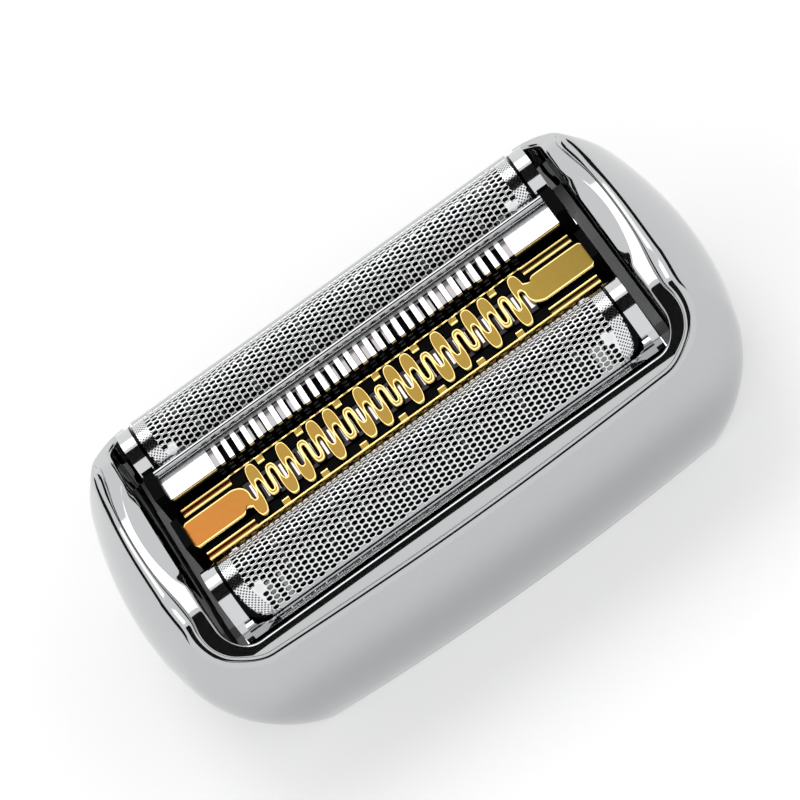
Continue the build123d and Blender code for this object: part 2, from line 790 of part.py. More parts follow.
pieces = {
    "outer_frame": outer_frame,
    "chassis": chassis,
    "left_end_plate": end_plate(-1),
    "right_end_plate": end_plate(1),
    "comb_sheet": comb_sheet,
    "comb_bar": comb_bar,
    "comb_holder": comb_holder,
    "comb_springs": springs(comb_centre),
    "comb_blade": comb_blade,
    "comb_slider": comb_slider,
    "lift_guard": lift_guard,
    "lift_rails": lift_rails,
    "lift_holder": lift_holder,
    "lift_springs": springs(lift_centre),
    "lift_blade": lift_blade,
    "lift_slider": lift_slider,
}
for side, where in ((-1, "front"), (1, "rear")):
    pieces[where + "_foil"] = foil(side)
    pieces[where + "_foil_pins"] = foil_pins(side)
    pieces[where + "_foil_carrier"] = foil_carrier(side)
    pieces[where + "_foil_springs"] = springs(foil_centres[side])
    pieces[where + "_cutter_core"] = cutter_core(side)
    pieces[where + "_cutter_blades"] = cutter_blades(side)

os.makedirs("parts", exist_ok=True)
for label, piece in pieces.items():
    piece.part.label = label
    export_step(piece.part, "parts/" + label + ".step")
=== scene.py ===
"""Foil shaver head in a plain studio. Sizes are millimetres; meshes are written in metres."""

import bpy
import numpy as np
from math import cos, radians, sin
from mathutils import Matrix, Vector


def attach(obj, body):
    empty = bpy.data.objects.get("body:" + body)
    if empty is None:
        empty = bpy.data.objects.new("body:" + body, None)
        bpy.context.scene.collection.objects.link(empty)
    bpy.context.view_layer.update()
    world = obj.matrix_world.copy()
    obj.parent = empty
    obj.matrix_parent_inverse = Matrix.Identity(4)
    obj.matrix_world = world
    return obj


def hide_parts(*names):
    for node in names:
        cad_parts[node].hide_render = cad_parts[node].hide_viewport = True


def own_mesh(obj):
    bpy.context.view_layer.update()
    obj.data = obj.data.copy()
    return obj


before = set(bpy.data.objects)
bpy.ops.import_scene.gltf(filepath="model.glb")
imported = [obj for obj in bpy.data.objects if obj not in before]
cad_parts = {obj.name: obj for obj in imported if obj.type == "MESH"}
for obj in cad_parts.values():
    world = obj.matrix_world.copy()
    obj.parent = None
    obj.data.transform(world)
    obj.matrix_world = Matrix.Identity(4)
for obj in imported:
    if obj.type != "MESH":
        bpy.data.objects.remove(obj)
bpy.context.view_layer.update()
MM = 0.001
TINY = 0.01

# Frame sizes, as in the solids; the plan outlines have straighter sides and a sharper foot than theirs,
# and the recess under each end is deeper
FOOT = dict(length=48.6, depth=27.0, end_bow=4.0, bow=1.0, corner=1.0)
WAIST = dict(length=57.99, depth=32.99, end_bow=3.4, bow=0.6, corner=8.0)
CROWN = dict(length=49.2, depth=26.4, end_bow=2.6, bow=0.05, corner=3.5)
WAIST_HEIGHT, CROWN_HEIGHT = 9.5, 19.0
MOUTH_LENGTH, MOUTH_DEPTH, MOUTH_RADIUS = 45.2, 28.0, 2.5
BASE_LENGTH, BASE_DEPTH, BASE_RADIUS = 42.8, 23.2, 3.0
MOUTH_STEP, LEDGE_HEIGHT = 12.0, 4.5
RIM_HEIGHT, RIM_WIDTH = 15.5, 1.85
RIM_RADIUS, RIM_TILT = 3.225, radians(19.1)  # rolled rim, and its tilt at the mouth
SHOULDER_HEIGHT, SHOULDER_HALF, SHOULDER_ARCH = 17.7, 10.05, 0.9
RAMP_FALL = 9.0  # slope of the ramp past the mouth, where the rim takes over
SHOULDER_BLEND, RIM_BLEND = 0.25, 0.1
SCALLOP_DEPTH, SCALLOP_HALF, SCALLOP_RISE = 1.1, 6.9, 0.1
SCALLOP_FADE, SCALLOP_FLAT = 0.4, 0.85  # depth over which the lip flattens, and how far it does
LIP_EDGE = 0.5  # rounding of the mouth
GROOVE_HALF, GROOVE_DEPTH, GROOVE_POWER = 0.27, 0.38, 0.7  # the depth grows more slowly than the width
CRESCENT, CRESCENT_Y, CRESCENT_HALF = 1.3, 8.6, 3.0  # the groove is wider towards the corners
CRESCENT_START, CRESCENT_FADE = 19.0, 4.0  # only near the ends
NEAR = 0.02  # share of the top over which its slope at the crease is read
RECESS_HALF, RECESS_HEIGHT, RECESS_WALL, RECESS_MARGIN = 7.5, 4.6, 22.8, 1.0
SIDE_STEPS, CORNER_STEPS, END_STEPS = 40, 22, 34  # round a quarter of the plan
WALL_STEPS, GROOVE_STEPS, TOP_STEPS, LIP_STEPS = 34, 13, 16, 11  # up the section
HALVINGS = 40

# Foil sizes; arch, length and place are as in the solids, the holes are finer
FOIL_Y, FOIL_CENTRE, FOIL_HALF = 9.17, 16.3, 19.6
CROWN_RADIUS, CROWN_ANGLE = 3.0, radians(40)
FLANK_RADIUS, FLANK_ANGLE = 5.0, radians(79)
FOIL_SHEET = 0.09
FOIL_REACH, HOLE_REACH, PLAIN_END = 6.2, 5.25, 1.35  # along the arch to the edge and the last hole; end band
FLANK_START, FLANK_RUN, FLANK_DRAW, FLANK_POWER = 2.6, 3.4, 0.9, 1.3  # the ends draw in on the flanks
CORNER_START, CORNER_DRAW = 0.7, 8.1  # and more at the lower corners
PIN_X, PIN_RUN, PIN_CLEAR = 17.75, 2.97, 0.5
CELL_ACROSS, CELL_ALONG = 0.585, 0.52
CELL_COLUMNS, CELL_ROWS = np.arange(-34, 35), np.arange(-13, 13)
CELL_HALF, CELL_QUARTER, CELL_RISE = 0.3503, 0.2347, 0.26
BORDER_X, BORDER_RUN = 0.3, 0.2  # cells this far past the outline are drawn back to it
OVAL_SIZE, OVAL_SHARE, HOLE_SIZE = 0.93, 0.65, np.array([0.86, 0.7])
WELD = 0.002
DOT_BAND, DOT_PITCH, DOT_RADIUS = 1.3, 0.24, 0.33  # etched band; radius as a share of the pitch

# Trimmer sizes
COMB_Y = 3.55
GUARD_Y, GUARD_TOP, GUARD_SHEET = -1.85, 17.25, 0.25
GUARD_HALF, TAB_HALF_WIDTH, TAB_END = 20.5, 1.65, 15.5
TAB_CORNER, TAB_SKEW, TAB_STEPS, NECK_STEPS = 0.4, 0.3, 8, 20
GROUP, GROUPS, LOBE_STEP, TURN_SHIFT, LEG = 4.0, 3, 0.85, 0.3, 0.42
NOTCH, LOBE_START = np.array([-15.3, -1.15]), np.array([-14.8, -1.25])
LOBE_REACH, SLOT_REACH, TURN_REACH, TURN_SLOT = 2.95, 0.8, 1.7, 1.05
LOBE_FULL, SLOT_FULL, TURN_STEPS = 0.72, 0.6, 24  # powers that make the half ellipses fuller
GUARD_ROUND, GUARD_FLAT = 0.09, 0.4  # rounded edge, and where the flat starts
RAIL_HALF_LENGTH, RAIL_EDGE, RAIL_TOP, RAIL_BOTTOM = 20.0, 3.31, 17.0, 15.1
RAIL_SHEET, RAIL_FLANGE, RAIL_EASE, RAIL_GROOVE = 0.15, 0.2, 0.06, 0.09
BAR_START, BAR_WIDTH, RAIL_WIDTH, CLIP_WIDTH, CLIP_HALF = 15.1, 1.0, 0.17, 0.9, 0.34
GROOVE_SHADE = 0.3  # the rails' groove counts as this far from an edge, so it gets no painted highlight
SPRING_OUTER, SPRING_REACH, SPRING_BEND, SPRING_SHEET, SPRING_WIDTH = 20.7, 2.9, 0.3, 0.15, 1.4
SPRING_FLOOR, SPRING_HEIGHT, FLOAT_TRAVEL, SPRING_SLACK = 5.7, 2.8, 2.0, 0.01
BEND_STEPS = 14


def srgb(code):
    """Linear colour of a hex code."""
    parts = np.array([int(code[i : i + 2], 16) for i in (1, 3, 5)]) / 255
    linear = np.where(parts <= 0.04045, parts / 12.92, ((parts + 0.055) / 1.055) ** 2.4)
    return tuple(float(part) for part in linear) + (1.0,)


def add_node(material, kind, inputs=None, **settings):
    """Adds one shader node; inputs maps a socket's name or number to a value or to another node's output."""
    tree = material.node_tree
    node = tree.nodes.new(kind)
    for name, value in settings.items():
        setattr(node, name, value)
    for socket, value in (inputs or {}).items():
        if isinstance(value, bpy.types.NodeSocket):
            tree.links.new(value, node.inputs[socket])
        else:
            node.inputs[socket].default_value = value
    return node


def finish(name, colour, metal, rough, grain=0.0, grain_size=None, shine=0.5):
    """A plain finish: colour, metal and roughness; noise with a grain size in mm varies the roughness."""
    material = bpy.data.materials.new(name)
    material.use_nodes = True
    shader = material.node_tree.nodes["Principled BSDF"]
    shader.inputs["Base Color"].default_value = srgb(colour)
    shader.inputs["Metallic"].default_value = metal
    shader.inputs["Roughness"].default_value = rough
    shader.inputs["Specular IOR Level"].default_value = shine
    if grain:
        place = add_node(material, "ShaderNodeTexCoord").outputs["Object"]
        scale = tuple(1 / (size * MM) for size in grain_size)
        scaled = add_node(material, "ShaderNodeMapping", {"Vector": place, "Scale": scale}).outputs["Vector"]
        noise = add_node(material, "ShaderNodeTexNoise", {"Vector": scaled, "Scale": 1.0, "Detail": 3.0})
        limits = {"To Min": max(rough - grain, 0.02), "To Max": rough + grain}
        spread = add_node(material, "ShaderNodeMapRange", {"Value": noise.outputs["Fac"], **limits})
        material.node_tree.links.new(spread.outputs["Result"], shader.inputs["Roughness"])
    return material


# Real grinding marks, coating grain and moulded texture are too fine to show, so these are drawn coarser
STREAK, SPECKLE, SKIN = (0.2, 3, 3), (0.6, 0.6, 0.6), (0.5, 0.5, 0.5)
# Chrome plating on moulded plastic: a clear mirror that shows the pale studio as light grey
CHROME = finish("chrome plating", "#BBBCBD", 1.0, 0.05)
CARRIER = finish("plated carrier", "#C8C9CA", 1.0, 0.06)
# Electroformed nickel: bright, with a soft shine that lets the arch shade evenly
NICKEL = finish("electroformed nickel", "#E2E3E4", 1.0, 0.13)
# Ground steel: pale, with a shine that varies in streaks
STEEL = finish("ground steel", "#DCDDDE", 1.0, 0.18, grain=0.05, grain_size=STREAK)
COMB = finish("ground comb steel", "#DCDDDE", 1.0, 0.18)
# Gold coloured coating on sheet steel: warm satin metal with a faint speckle
GOLD = finish("gold coloured coating", "#957636", 1.0, 0.2, grain=0.05, grain_size=SPECKLE)
# The guard's lighter edges are a painted highlight
GUARD = finish("gold coating with painted edge highlights", "#80652F", 1.0, 0.2, grain=0.05, grain_size=SPECKLE)
# Moulded plastic with a matt skin: the black one has almost no shine and reads as shadow
BLACK = finish("black moulding", "#08080A", 0.0, 0.5, grain=0.08, grain_size=SKIN, shine=0.02)
GREY = finish("grey moulding", "#B4B5B7", 0.0, 0.45, grain=0.08, grain_size=SKIN)
# Rolled blade and spring steel: darker and mostly duller than the ground faces
BLADE = finish("blade steel", "#3A3B3D", 1.0, 0.35)
TEETH = finish("trimmer blade steel", "#8C8889", 1.0, 0.25)
SPRING = finish("spring steel", "#3E3E40", 1.0, 0.35)
LIFT = finish("dark blade steel with ground teeth", "#2A2728", 1.0, 0.3)


def place_of(material):
    """Outputs X, Y and Z of a point's own place, in metres."""
    place = add_node(material, "ShaderNodeTexCoord").outputs["Object"]
    return add_node(material, "ShaderNodeSeparateXYZ", {"Vector": place}).outputs


def tint_where(material, colour, share, *masks):
    """Mixes a colour into the base colour by a share from 0 to 1, times each of the masks."""
    for mask in masks:
        share = add_node(material, "ShaderNodeMath", {0: share, 1: mask}, operation="MULTIPLY").outputs[0]
    base = material.node_tree.nodes["Principled BSDF"].inputs["Base Color"]
    before = base.links[0].from_socket if base.is_linked else tuple(base.default_value)
    inputs = {"Factor": share, "A": before, "B": srgb(colour)}
    mix = add_node(material, "ShaderNodeMix", inputs, data_type="RGBA")
    material.node_tree.links.new(mix.outputs["Result"], base)


def dotted_ends(material, colour):
    """Etched dots on a diagonal grid in a band along the foil's ends; U is the distance from the end, in mm.

    A point is in a dot where it is nearer to the dot's middle than the dot's radius.
    """
    place = add_node(material, "ShaderNodeUVMap", uv_map="UVMap").outputs["UV"]
    from_end = add_node(material, "ShaderNodeSeparateXYZ", {"Vector": place}).outputs["X"]
    near_end = {0: from_end, 1: DOT_BAND}
    in_band = add_node(material, "ShaderNodeMath", near_end, operation="LESS_THAN").outputs[0]
    turned = add_node(material, "ShaderNodeMapping", {"Vector": place, "Rotation": (0, 0, radians(45))})
    dots = add_node(
        material,
        "ShaderNodeTexVoronoi",
        {"Vector": turned.outputs["Vector"], "Scale": 1 / DOT_PITCH, "Randomness": 0.0},
        voronoi_dimensions="2D",
    )
    near_dot = {0: dots.outputs["Distance"], 1: DOT_RADIUS}
    in_dot = add_node(material, "ShaderNodeMath", near_dot, operation="LESS_THAN").outputs[0]
    tint_where(material, colour, in_band, in_dot)


def tinted_along(material, stops):
    """Colour that changes along the part's length; stops are pairs of a place in mm and a colour."""
    first, last = stops[0][0], stops[-1][0]
    span = {"Value": place_of(material)["X"], "From Min": first * MM, "From Max": last * MM}
    share = add_node(material, "ShaderNodeMapRange", span).outputs["Result"]
    ramp = add_node(material, "ShaderNodeValToRGB", {"Fac": share})
    for _ in range(len(stops) - len(ramp.color_ramp.elements)):
        ramp.color_ramp.elements.new(1.0)
    for element, (x, colour) in zip(ramp.color_ramp.elements, stops):
        element.position = (x - first) / (last - first)
        element.color = srgb(colour)
    base = material.node_tree.nodes["Principled BSDF"].inputs["Base Color"]
    material.node_tree.links.new(ramp.outputs["Color"], base)


def painted_shade_under_foil(material, length, width, colour):
    """Paints shade on the carrier where the foil covers it, within a length and a width in mm: a near-black
    colour that stands in for the shade under the foil.
    """
    place = place_of(material)
    along = add_node(material, "ShaderNodeMath", {0: place["X"]}, operation="ABSOLUTE").outputs[0]
    near_middle = {0: along, 1: length / 2 * MM}
    short = add_node(material, "ShaderNodeMath", near_middle, operation="LESS_THAN").outputs[0]
    across = add_node(material, "ShaderNodeMath", {0: place["Y"]}, operation="ABSOLUTE").outputs[0]
    covered = {0: across, 1: FOIL_Y * MM, 2: width / 2 * MM}
    inside = add_node(material, "ShaderNodeMath", covered, operation="COMPARE").outputs[0]
    tint_where(material, colour, short, inside)


def dark_below(material, height, colour):
    """Darker colour below a height in mm."""
    level = {0: place_of(material)["Z"], 1: height * MM}
    low = add_node(material, "ShaderNodeMath", level, operation="LESS_THAN").outputs[0]
    tint_where(material, colour, low)


def ground_teeth(material, pitch, width, reach, colour):
    """Light ground stripes at a pitch along the blade, within a reach of its middle line; all in mm."""
    place = place_of(material)
    turn = {0: place["X"], 1: pitch * MM}
    phase = add_node(material, "ShaderNodeMath", turn, operation="FLOORED_MODULO").outputs[0]
    stripe = add_node(material, "ShaderNodeMath", {0: phase, 1: width * MM}, operation="LESS_THAN").outputs[0]
    middle = {0: place["Y"], 1: GUARD_Y * MM, 2: reach * MM}
    inside = add_node(material, "ShaderNodeMath", middle, operation="COMPARE").outputs[0]
    tint_where(material, colour, stripe, inside)


def painted_edge_highlights(material, reach, colour):
    """Painted highlight: lighter edges that fade out over a reach; U is the distance from the edge in mm."""
    place = add_node(material, "ShaderNodeUVMap", uv_map="UVMap").outputs["UV"]
    from_edge = add_node(material, "ShaderNodeSeparateXYZ", {"Vector": place}).outputs["X"]
    fade = {"Value": from_edge, "From Min": reach, "From Max": 0.5 * reach}
    share = add_node(material, "ShaderNodeMapRange", fade, interpolation_type="SMOOTHSTEP").outputs["Result"]
    tint_where(material, colour, share)


dotted_ends(NICKEL, "#5A5B5D")
# Painted shade: the carrier is near black under the foil, so the holes there read dark
painted_shade_under_foil(CARRIER, 39.8, 7.2, "#101012")
dark_below(COMB, 17.75, "#3A3A3B")
ground_teeth(LIFT, 1.0, 0.5, 1.15, "#BDB6B6")
# Copper coloured at the left end, olive at the right one
GOLD_TINTS = [
    (-20.5, "#8E5A28"),
    (-15.0, "#875A28"),
    (-13.5, "#7A602B"),
    (13.5, "#745F2A"),
    (20.5, "#665424"),
]
# Painted highlight: a pale gold along the edges of the guard and the rails
for material in (GOLD, GUARD):
    tinted_along(material, GOLD_TINTS)
    painted_edge_highlights(material, 0.26, "#F0D28A")

for node, material in {
    "outer_frame": CHROME,
    "chassis": BLACK,
    "left_end_plate": GREY,
    "right_end_plate": GREY,
    "comb_sheet": COMB,
    "comb_bar": CHROME,
    "comb_holder": BLACK,
    "comb_springs": SPRING,
    "comb_blade": TEETH,
    "comb_slider": BLACK,
    "lift_guard": GOLD,
    "lift_rails": GOLD,
    "lift_holder": BLACK,
    "lift_springs": SPRING,
    "lift_blade": LIFT,
    "lift_slider": BLACK,
    "front_foil": NICKEL,
    "rear_foil": NICKEL,
    "front_foil_pins": STEEL,
    "rear_foil_pins": STEEL,
    "front_foil_carrier": CARRIER,
    "rear_foil_carrier": CARRIER,
    "front_foil_springs": SPRING,
    "rear_foil_springs": SPRING,
    "front_cutter_core": BLACK,
    "rear_cutter_core": BLACK,
    "front_cutter_blades": BLADE,
    "rear_cutter_blades": BLADE,
}.items():
    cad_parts[node].data.materials.clear()
    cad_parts[node].data.materials.append(material)


def quads(rows, columns, wrap_rows=False, wrap_columns=False):
    """Faces of a grid of points, closed round where asked."""
    row = np.arange(rows if wrap_rows else rows - 1)[:, None]
    column = np.arange(columns if wrap_columns else columns - 1)[None, :]
    up, right = (row + 1) % rows, (column + 1) % columns
    corners = [row * columns + column, up * columns + column, up * columns + right, row * columns + right]
    return np.stack(np.broadcast_arrays(*corners), -1).reshape(-1, 4)


def tube(rows, columns, turn=1, first=0):
    """Faces of a closed tube: quads round it and a cap on each end; turn -1 faces them the other way."""
    section = np.arange(columns)
    caps = np.stack([section, section[::-1] + (rows - 1) * columns])
    return [quads(rows, columns, wrap_columns=True)[:, ::turn] + first, caps[:, ::turn] + first]


def piece(name, points, faces, material, body, nodes, uv=None, smooth=True):
    """Puts points in mm and arrays of faces into a mesh that rides on a body and replaces CAD nodes."""
    mesh = bpy.data.meshes.new(name)
    corners = [face for block in faces for face in block.tolist()]
    mesh.from_pydata((points.reshape(-1, 3) * MM).tolist(), [], corners)
    if uv is not None:
        layer = mesh.uv_layers.new(name="UVMap")
        corner = np.zeros(len(mesh.loops), dtype=np.int32)
        mesh.loops.foreach_get("vertex_index", corner)
        layer.data.foreach_set("uv", uv.reshape(-1, 2)[corner].astype(np.float32).ravel())
    mesh.polygons.foreach_set("use_smooth", np.full(len(mesh.polygons), smooth))
    mesh.materials.append(material)
    mesh.update()
    thing = bpy.data.objects.new(name, mesh)
    bpy.context.scene.collection.objects.link(thing)
    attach(thing, body)
    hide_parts(*nodes)
    return thing


def arc_run(centre, radius, start, stop, count):
    """Evenly spaced points of an arc, from one angle to another."""
    angle = np.linspace(start, stop, count)
    return np.stack([centre[0] + radius * np.cos(angle), centre[1] + radius * np.sin(angle)], -1)


def four_quarters(quarter):
    """Whole outline, mirrored from the quarter between the middles of the front and of the right end."""
    flip_y, flip_x = np.array([1, -1]), np.array([-1, 1])
    return np.concatenate(
        [quarter[:-1], (quarter * flip_y)[::-1][:-1], (-quarter)[:-1], (quarter * flip_x)[::-1][:-1]]
    )


def bowed_outline(length, depth, end_bow, bow, corner):
    """Plan outline: arc of a long side, corner arc tangent to it and to the end's arc, arc of the end."""
    corner_x, corner_y = length / 2 - end_bow, depth / 2 - bow
    side_radius = (corner_x**2 + bow**2) / (2 * bow)
    end_radius = (corner_y**2 + end_bow**2) / (2 * end_bow)
    side_centre = np.array([0, -depth / 2 + side_radius])
    end_centre = np.array([length / 2 - end_radius, 0])
    # The corner's centre is at known distances from both arc centres
    gap = end_centre - side_centre
    span = np.hypot(*gap)
    one, two = side_radius - corner, end_radius - corner
    along = (one**2 - two**2 + span**2) / (2 * span)
    off = np.sqrt(one**2 - along**2)
    sideways = np.array([-gap[1], gap[0]]) / span
    options = side_centre + along * gap / span + np.outer([off, -off], sideways)
    middle = options[np.argmax(options[:, 0] - options[:, 1])]
    start = np.arctan2(*(middle - side_centre)[::-1])
    stop = np.arctan2(*(middle - end_centre)[::-1])
    side = arc_run(side_centre, side_radius, -np.pi / 2, start, SIDE_STEPS)
    bend = arc_run(middle, corner, start, stop, CORNER_STEPS)
    end = arc_run(end_centre, end_radius, stop, 0, END_STEPS)
    return four_quarters(np.concatenate([side[:-1], bend[:-1], end]))


def straight_outline(length, depth, radius):
    """Rounded rectangle with the same steps as the bowed outline."""
    x, y = length / 2 - radius, depth / 2 - radius
    side = np.stack([np.linspace(0, x, SIDE_STEPS), np.full(SIDE_STEPS, -depth / 2)], -1)
    end = np.stack([np.full(END_STEPS, length / 2), np.linspace(-y, 0, END_STEPS)], -1)
    corner = arc_run((x, -y), radius, -np.pi / 2, 0, CORNER_STEPS)
    return four_quarters(np.concatenate([side[:-1], corner[:-1], end]))


def at_height(plan, height):
    """Plan points lifted to one height."""
    return np.column_stack([plan, np.full(len(plan), height)])


def soft_low(one, two, blend):
    """The lower of two heights, rounded by a parabola where they meet."""
    mix = np.clip(0.5 + 0.5 * (two - one) / blend, 0, 1)
    return two * (1 - mix) + one * mix - blend * mix * (1 - mix)


def rim_top(y):
    """Height of the frame's top: arched shoulder, straight ramp, then the rolled rim of the long side."""
    y = np.abs(y)
    mouth = MOUTH_DEPTH / 2
    arch_radius = (SHOULDER_HALF**2 + SHOULDER_ARCH**2) / (2 * SHOULDER_ARCH)
    arch = SHOULDER_HEIGHT + SHOULDER_ARCH - y**2 / (2 * arch_radius)
    past = y - mouth
    ramp = RIM_HEIGHT + (SHOULDER_HEIGHT - RIM_HEIGHT) * (mouth - y) / (mouth - SHOULDER_HALF)
    ramp = ramp - RAMP_FALL * np.maximum(past, 0)
    over = np.clip(past, 0, RIM_WIDTH) + RIM_RADIUS * sin(RIM_TILT)
    rolled = np.sqrt(RIM_RADIUS**2 - over**2) - RIM_RADIUS * cos(RIM_TILT)
    rim = RIM_HEIGHT + rolled - np.maximum(past - RIM_WIDTH, 0)
    return -soft_low(-soft_low(arch, ramp, SHOULDER_BLEND), -rim, RIM_BLEND)


def wall_at(sections, height):
    """Plan points of the bulged wall at a height for each point: a parabola through foot, waist and crown."""
    foot, waist, crown = sections
    h, w, c = height[..., None], WAIST_HEIGHT, CROWN_HEIGHT
    return (
        foot * (h - w) * (h - c) / (w * c)
        + waist * h * (h - c) / (w * (w - c))
        + crown * h * (h - w) / (c * (c - w))
    )


def rounded_corner(before, corner, after, count):
    """Quadratic curve from before to after, drawn towards the corner."""
    t = np.linspace(0, 1, count)[:, None, None]
    return (1 - t) ** 2 * before + 2 * t * (1 - t) * corner + t**2 * after


def toward(start, goal, reach):
    """Point at a distance from start on the way to goal."""
    step = goal - start
    return start + step * (reach / np.maximum(np.linalg.norm(step, axis=-1, keepdims=True), 1e-9))


def frame_crease(sections):
    """Line where the wall meets the top, found by halving the span of heights in which they cross."""
    low = np.full(len(sections[0]), WAIST_HEIGHT)
    high = np.full(len(sections[0]), CROWN_HEIGHT)
    for _ in range(HALVINGS):
        height = (low + high) / 2
        above = rim_top(wall_at(sections, height)[:, 1]) > height
        low, high = np.where(above, height, low), np.where(above, high, height)
    return np.column_stack([wall_at(sections, height), height])


def recess_lines(sections):
    """Foot and inner arch of the recess under each end, and the height at which the wall starts above it.

    The arch is half an ellipse across the end, set back to a flat wall.
    """
    foot = sections[0]
    across = np.clip(np.abs(foot[:, 1]) / RECESS_HALF, 0, 1)
    at_end = np.abs(foot[:, 0]) > RECESS_WALL - RECESS_MARGIN
    height = np.where(at_end, RECESS_HEIGHT * np.sqrt(1 - across**2), 0.0)
    arch = np.column_stack([wall_at(sections, height), height])
    inside = height > TINY
    arch[inside, 0] = np.sign(arch[inside, 0]) * np.minimum(np.abs(arch[inside, 0]), RECESS_WALL)
    return arch * np.array([1, 1, 0]), arch, height


def frame_surface():
    """Closed ring: round the plan outline one way and round the wall's cross-section the other way.

    The section goes from the base past the recess up the bulged wall, through the groove at the crease, in
    over the top, round the lip of the mouth and down to the ledge.
    """
    sections = [bowed_outline(**FOOT), bowed_outline(**WAIST), bowed_outline(**CROWN)]
    mouth = straight_outline(MOUTH_LENGTH, MOUTH_DEPTH, MOUTH_RADIUS)
    base = straight_outline(BASE_LENGTH, BASE_DEPTH, BASE_RADIUS)
    crease = frame_crease(sections)
    lip = np.column_stack([mouth, rim_top(mouth[:, 1])])
    recess_foot, recess, start_height = recess_lines(sections)
    steps = np.linspace(0, 1, WALL_STEPS)[:, None]
    heights = start_height + (crease[:, 2] - start_height) * steps
    wall = np.dstack([wall_at(sections, heights), heights])
    # The groove widens towards the corners of both ends
    swell = np.exp(-(((np.abs(crease[:, 1]) - CRESCENT_Y) / CRESCENT_HALF) ** 2))
    swell *= np.clip((np.abs(crease[:, 0]) - CRESCENT_START) / CRESCENT_FADE, 0, 1)
    half = GROOVE_HALF * (1 + CRESCENT * swell)
    # Inside the shoulders the lip is cut back to a sloped scallop
    scallop = SCALLOP_DEPTH * np.clip(1 - (mouth[:, 1] / SCALLOP_HALF) ** 2, 0, None)
    scallop = np.where(np.abs(mouth[:, 0]) > MOUTH_LENGTH / 2 - TINY, scallop, 0)
    # The top runs from the groove to the lip; its slope at the crease sets where it starts
    inward = (lip - crease)[:, :2]
    width = np.linalg.norm(inward, axis=1)
    rise = (rim_top((crease[:, :2] + inward * NEAR)[:, 1]) - crease[:, 2]) / (NEAR * width)
    start = half / np.sqrt(1 + rise**2)
    steps = np.linspace(0, 1, TOP_STEPS)[:, None]
    share = (start + (width - LIP_EDGE - scallop - start) * steps) / width
    plan = crease[:, :2] + inward * share[..., None]
    top = np.dstack([plan, rim_top(plan[..., 1])])
    # The groove is cut square to the crease
    below, above = toward(crease, wall[-3], half[:, None]), top[0]
    outward = np.cross(np.roll(crease, -1, 0) - np.roll(crease, 1, 0), above - below)
    outward /= np.linalg.norm(outward, axis=1, keepdims=True)
    depth = GROOVE_DEPTH * (half / GROOVE_HALF)[:, None] ** GROOVE_POWER
    groove = rounded_corner(below, crease - depth * outward, above, GROOVE_STEPS)
    inner_lip = lip - np.array([0, 0, 1]) * (LIP_EDGE + SCALLOP_RISE * scallop)[:, None]
    flat_share = np.clip(scallop / SCALLOP_FADE, 0, SCALLOP_FLAT)[:, None]
    bend = lip * (1 - flat_share) + (top[-1] + inner_lip) / 2 * flat_share
    rounded_lip = rounded_corner(top[-1], bend, inner_lip, LIP_STEPS)
    foot_lines = [at_height(base, 0), recess_foot, recess]
    inner_levels = ((mouth, MOUTH_STEP), (mouth, LEDGE_HEIGHT), (base, LEDGE_HEIGHT))
    inner_lines = [at_height(plan, height) for plan, height in inner_levels]
    return np.concatenate([foot_lines, wall[:-2], groove, top[1:-1], rounded_lip, inner_lines])


ring = frame_surface()
ring_faces = quads(*ring.shape[:2], wrap_rows=True, wrap_columns=True)[:, ::-1]
piece("chrome_frame", ring, [ring_faces], CHROME, "frame", ["outer_frame"])


def on_arch(run):
    """Across and up of the foil at a distance along its arch from the crest.

    The arch is an arc over the crest, a wider arc tangent to it on each flank, then straight down.
    """
    side, run = np.sign(run), np.abs(run)
    crown_run = CROWN_RADIUS * CROWN_ANGLE
    flank_run = crown_run + FLANK_RADIUS * (FLANK_ANGLE - CROWN_ANGLE)
    angle = np.where(run < crown_run, run / CROWN_RADIUS, CROWN_ANGLE + (run - crown_run) / FLANK_RADIUS)
    angle = np.minimum(angle, FLANK_ANGLE)
    shift = FLANK_RADIUS - CROWN_RADIUS
    on_crown = angle < CROWN_ANGLE
    radius = np.where(on_crown, CROWN_RADIUS, FLANK_RADIUS)
    across = radius * np.sin(angle) - np.where(on_crown, 0, shift * sin(CROWN_ANGLE))
    up = radius * np.cos(angle) - np.where(on_crown, 0, shift * cos(CROWN_ANGLE))
    return side * across, up - np.maximum(run - flank_run, 0)


def foil_end(run):
    """Half length of the foil at a distance along the arch: full over the crest, drawn in on the flanks.

    It draws in by a power of the way down the flank, and near the lower corner by a square as well.
    """
    drop = np.clip((np.abs(run) - FLANK_START) / FLANK_RUN, 0, 1)
    corner = np.clip(drop - CORNER_START, 0, None)
    return FOIL_HALF - FLANK_DRAW * drop**FLANK_POWER - CORNER_DRAW * corner**2


def whole_cells(cells):
    """Cells without corners that repeat the one before, as one array for each number of corners left.

    A cell that still has a corner twice is left out.
    """
    fresh = cells != np.roll(cells, 1, axis=1)
    corners = fresh.sum(axis=1)
    different = 1 + (np.diff(np.sort(cells, axis=1), axis=1) != 0).sum(axis=1)
    good = (corners == different) & (corners > 2)
    return [
        cells[good & (corners == count)][fresh[good & (corners == count)]].reshape(-1, count)
        for count in np.unique(corners[good])
    ]


